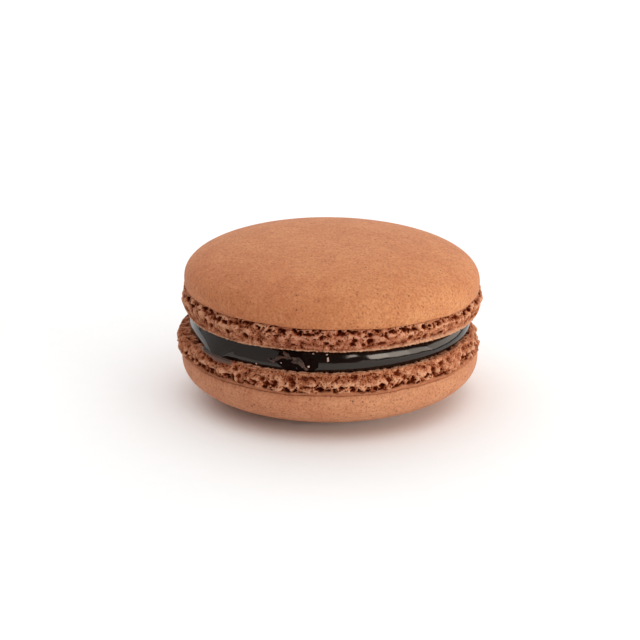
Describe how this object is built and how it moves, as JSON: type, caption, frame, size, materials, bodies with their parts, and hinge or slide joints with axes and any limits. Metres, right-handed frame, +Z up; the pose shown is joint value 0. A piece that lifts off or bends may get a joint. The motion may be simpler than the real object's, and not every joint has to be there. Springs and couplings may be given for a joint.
{
  "type": "french macaron",
  "caption": "Round sandwich biscuit lying flat: smooth domed baked shells over rough, porous feet, with a glossy dark filling bulging between them.",
  "frame": {"origin": "on the surface that the macaron rests on, under the middle of its outline", "axes": "+Z up through both shells and the filling; the pictured front faces -Y"},
  "size_m": [0.0488, 0.0486, 0.0257],
  "materials": {
    "shell": "dry matte baked meringue, cocoa brown, rough and porous at the foot",
    "filling": "wet-looking glossy dark chocolate"
  },
  "bodies": {
    "root": {"lower_shell": "shell", "filling": "filling", "upper_shell": "shell"}
  },
  "joints": []
}
